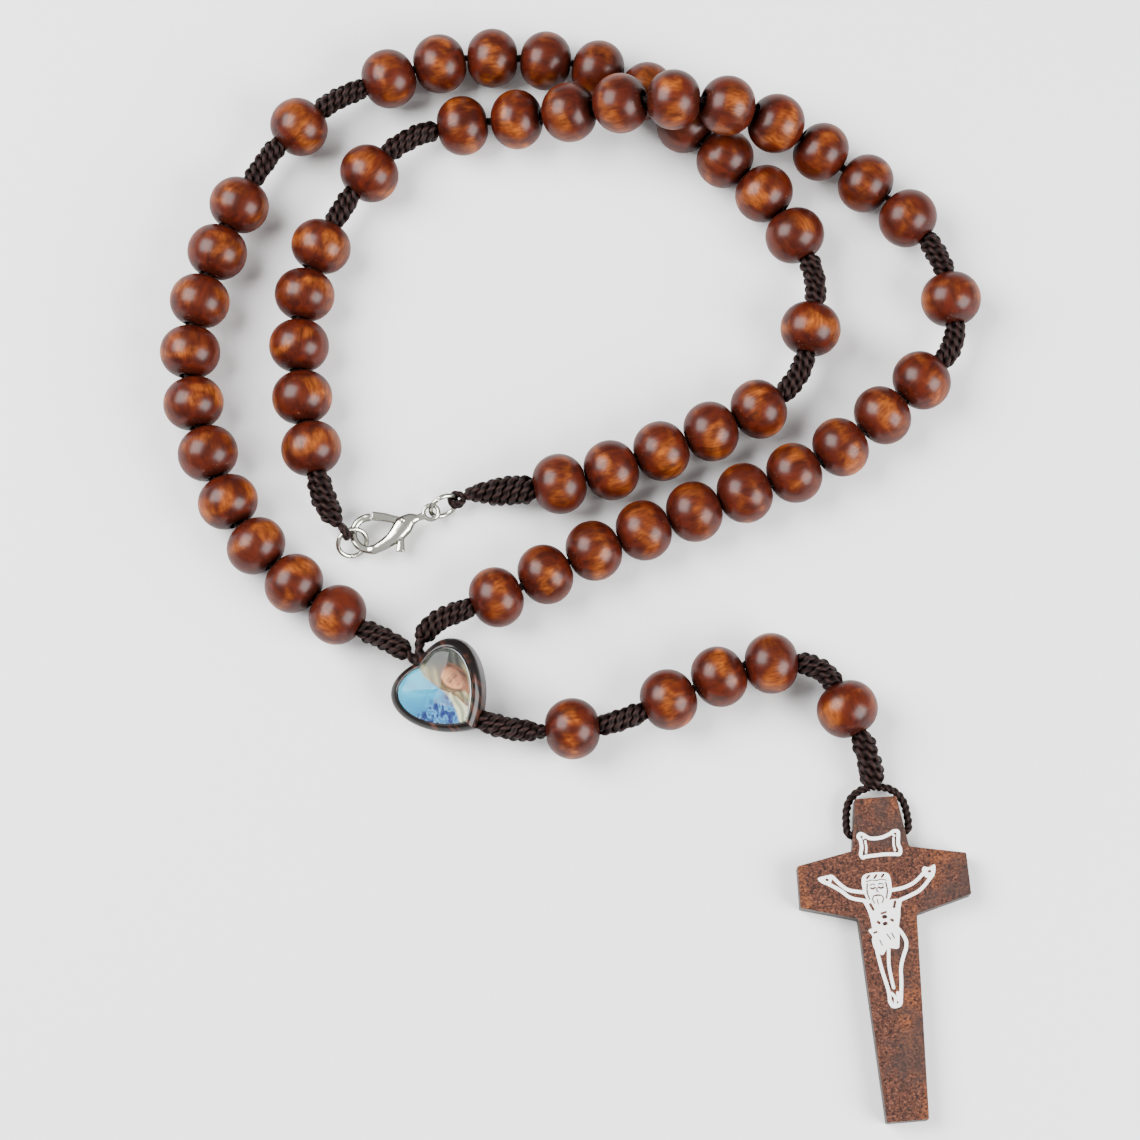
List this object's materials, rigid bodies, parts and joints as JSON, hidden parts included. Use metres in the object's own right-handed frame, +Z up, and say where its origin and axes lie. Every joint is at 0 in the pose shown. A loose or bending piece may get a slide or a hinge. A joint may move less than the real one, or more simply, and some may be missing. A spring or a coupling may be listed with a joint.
{
  "type": "rosary",
  "caption": "Rosary of round stained wooden beads on knotted cord, with a heart-shaped centrepiece, a lobster clasp and a flat wooden cross on a short pendant strand.",
  "frame": {"origin": "bottom centre of the rosary's bounding box as it lies, on the plane that the beads and the cross rest on", "axes": "+Z up from the table, +Y from the cross towards the far end of the loop, +X to the right as the cross faces the viewer"},
  "size_m": [0.1089, 0.1463, 0.0158],
  "materials": {
    "bead_wood": "glossy varnish over a red-brown stain",
    "cord": "satin braided nylon cord",
    "plated_metal": "bright nickel plate",
    "spring_steel": "bare spring wire",
    "heart_resin": "glossy dark brown cast resin",
    "heart_picture": "printed picture sheet",
    "clear_dome": "clear domed resin",
    "cross_wood": "satin red-brown stain with darker flecks",
    "white_print": "white screen print"
  },
  "bodies": {
    "heart_section": {"heart_body": "heart_resin", "heart_picture": "heart_picture", "heart_dome": "clear_dome", "clasp_body": "plated_metal", "clasp_pin": "plated_metal", "clasp_spring": "spring_steel", "clasp_end_loop": "cord", "strand_end_loop": "cord", "knot_left_1": "cord", "knot_left_2": "cord", "knot_left_3": "cord", "knot_left_6": "cord", "knot_right_1": "cord", "knot_right_4": "cord", "knot_right_5": "cord", "knot_right_6": "cord", "knot_pendant_1": "cord", "decade_1_near": "bead_wood", "decade_2_near": "bead_wood", "decade_3_near": "bead_wood", "decade_4_near": "bead_wood", "decade_5_near": "bead_wood", "string_near": "cord"},
    "left_edge": {"decade_1_edge": "bead_wood", "string_left_edge": "cord"},
    "middle_section": {"knot_left_4": "cord", "knot_left_5": "cord", "decade_2_middle": "bead_wood", "decade_3_middle": "bead_wood", "decade_4_middle": "bead_wood", "decade_5_middle": "bead_wood", "string_middle": "cord"},
    "right_edge": {"knot_right_2": "cord", "knot_right_3": "cord", "decade_3_edge": "bead_wood", "decade_4_edge": "bead_wood", "string_right_edge": "cord"},
    "pendant_top": {"knot_pendant_2": "cord", "string_pendant_1": "cord"},
    "pendant_beads": {"knot_pendant_3": "cord", "string_pendant_2": "cord"},
    "pendant_foot": {"string_pendant_3": "cord"},
    "cross_cord": {"knot_pendant_4": "cord", "cross_loop": "cord"},
    "cross": {"cross_body": "cross_wood", "cross_figure": "white_print", "cross_scroll": "white_print"},
    "lever": {"clasp_lever": "plated_metal"},
    "clasp_ring": {"clasp_jump_ring": "plated_metal"},
    "strand_ring": {"strand_jump_ring": "plated_metal"},
    "our_father_1_turning": {"our_father_1": "bead_wood"},
    "our_father_2_turning": {"our_father_2": "bead_wood"},
    "our_father_3_turning": {"our_father_3": "bead_wood"},
    "our_father_4_turning": {"our_father_4": "bead_wood"},
    "our_father_5_turning": {"our_father_5": "bead_wood"},
    "hail_mary_1_turning": {"hail_mary_1": "bead_wood"},
    "hail_mary_2_turning": {"hail_mary_2": "bead_wood"},
    "hail_mary_3_turning": {"hail_mary_3": "bead_wood"},
    "our_father_6_turning": {"our_father_6": "bead_wood"}
  },
  "joints": [
    {"name": "left_fold", "type": "hinge", "parent": "heart_section", "child": "left_edge", "pos_m": [-0.041, 0.027, 0.0052], "axis": [0, 1, 0], "range_deg": [0, 45], "deforming": ["knot_left_2"]},
    {"name": "centre_fold", "type": "hinge", "parent": "heart_section", "child": "middle_section", "pos_m": [-0.0086, 0.03, 0.0052], "axis": [0, -1, 0], "range_deg": [0, 45], "deforming": ["knot_left_6"]},
    {"name": "right_fold", "type": "hinge", "parent": "middle_section", "child": "right_edge", "pos_m": [0.0375, 0.035, 0.0052], "axis": [0, -1, 0], "range_deg": [0, 45]},
    {"name": "pendant_swing", "type": "hinge", "parent": "heart_section", "child": "pendant_top", "pos_m": [-0.00755, -0.02283, 0.00402], "axis": [0, 0, 1], "range_deg": [-45, 15], "deforming": ["knot_pendant_1"]},
    {"name": "pendant_lift", "type": "hinge", "parent": "pendant_top", "child": "pendant_beads", "pos_m": [0.00671, -0.02159, 0.004], "axis": [0.3287, -0.9445, 0], "range_deg": [0, 45], "deforming": ["knot_pendant_2"]},
    {"name": "drop_swing", "type": "hinge", "parent": "pendant_beads", "child": "pendant_foot", "pos_m": [0.03241, -0.01495, 0.0041], "axis": [0, 0, 1], "range_deg": [-40, 40], "deforming": ["knot_pendant_3"]},
    {"name": "cross_turn", "type": "hinge", "parent": "pendant_foot", "child": "cross_cord", "pos_m": [0.0387, -0.02666, 0.00302], "axis": [0, 0, 1], "range_deg": [-25, 25], "deforming": ["knot_pendant_4"]},
    {"name": "cross_lift", "type": "hinge", "parent": "cross_cord", "child": "cross", "pos_m": [0.03988, -0.03607, 0.0015], "axis": [0.9966, 0.0819, 0], "range_deg": [-75, 75]},
    {"name": "clasp_gate", "type": "hinge", "parent": "heart_section", "child": "lever", "pos_m": [-0.02201, 0.00526, 0.002], "axis": [0, 0, 1], "range_deg": [0, 25], "stiffness_Nm_per_rad": 0.0004},
    {"name": "clasp_ring_turn", "type": "hinge", "parent": "heart_section", "child": "clasp_ring", "pos_m": [-0.01665, 0.00734, 0.00205], "axis": [0.408, -0.8008, 0.4384], "continuous": true},
    {"name": "strand_ring_turn", "type": "hinge", "parent": "heart_section", "child": "strand_ring", "pos_m": [-0.0286, 0.0024, 0.002], "axis": [0.31, -0.593, 0.7431], "continuous": true},
    {"name": "our_father_1_spin", "type": "hinge", "parent": "heart_section", "child": "our_father_1_turning", "pos_m": [-0.03637, 0.05917, 0.004], "axis": [0.7467, 0.6652, 0], "continuous": true},
    {"name": "our_father_2_spin", "type": "hinge", "parent": "middle_section", "child": "our_father_2_turning", "pos_m": [0.03189, 0.03104, 0.004], "axis": [-0.1794, -0.9838, 0], "continuous": true},
    {"name": "our_father_3_spin", "type": "hinge", "parent": "right_edge", "child": "our_father_3_turning", "pos_m": [0.0506, 0.03513, 0.004], "axis": [-0.1575, 0.9875, 0], "continuous": true},
    {"name": "our_father_4_spin", "type": "hinge", "parent": "heart_section", "child": "our_father_4_turning", "pos_m": [-0.02686, 0.05264, 0.004], "axis": [-0.6389, -0.7693, 0], "continuous": true},
    {"name": "our_father_5_spin", "type": "hinge", "parent": "pendant_top", "child": "our_father_5_turning", "pos_m": [0.00031, -0.02278, 0.00399], "axis": [0.9949, 0.1009, 0.0025], "continuous": true},
    {"name": "hail_mary_1_spin", "type": "hinge", "parent": "pendant_beads", "child": "hail_mary_1_turning", "pos_m": [0.01278, -0.01895, 0.004], "axis": [0.91, 0.4145, 0], "continuous": true},
    {"name": "hail_mary_2_spin", "type": "hinge", "parent": "pendant_beads", "child": "hail_mary_2_turning", "pos_m": [0.01937, -0.01592, 0.004], "axis": [0.9067, 0.4218, -0.0009], "continuous": true},
    {"name": "hail_mary_3_spin", "type": "hinge", "parent": "pendant_beads", "child": "hail_mary_3_turning", "pos_m": [0.02618, -0.01415, 0.00402], "axis": [0.9976, 0.0681, 0.0083], "continuous": true},
    {"name": "our_father_6_spin", "type": "hinge", "parent": "pendant_foot", "child": "our_father_6_turning", "pos_m": [0.03596, -0.02018, 0.00398], "axis": [0.4424, -0.8945, -0.065], "continuous": true}
  ]
}
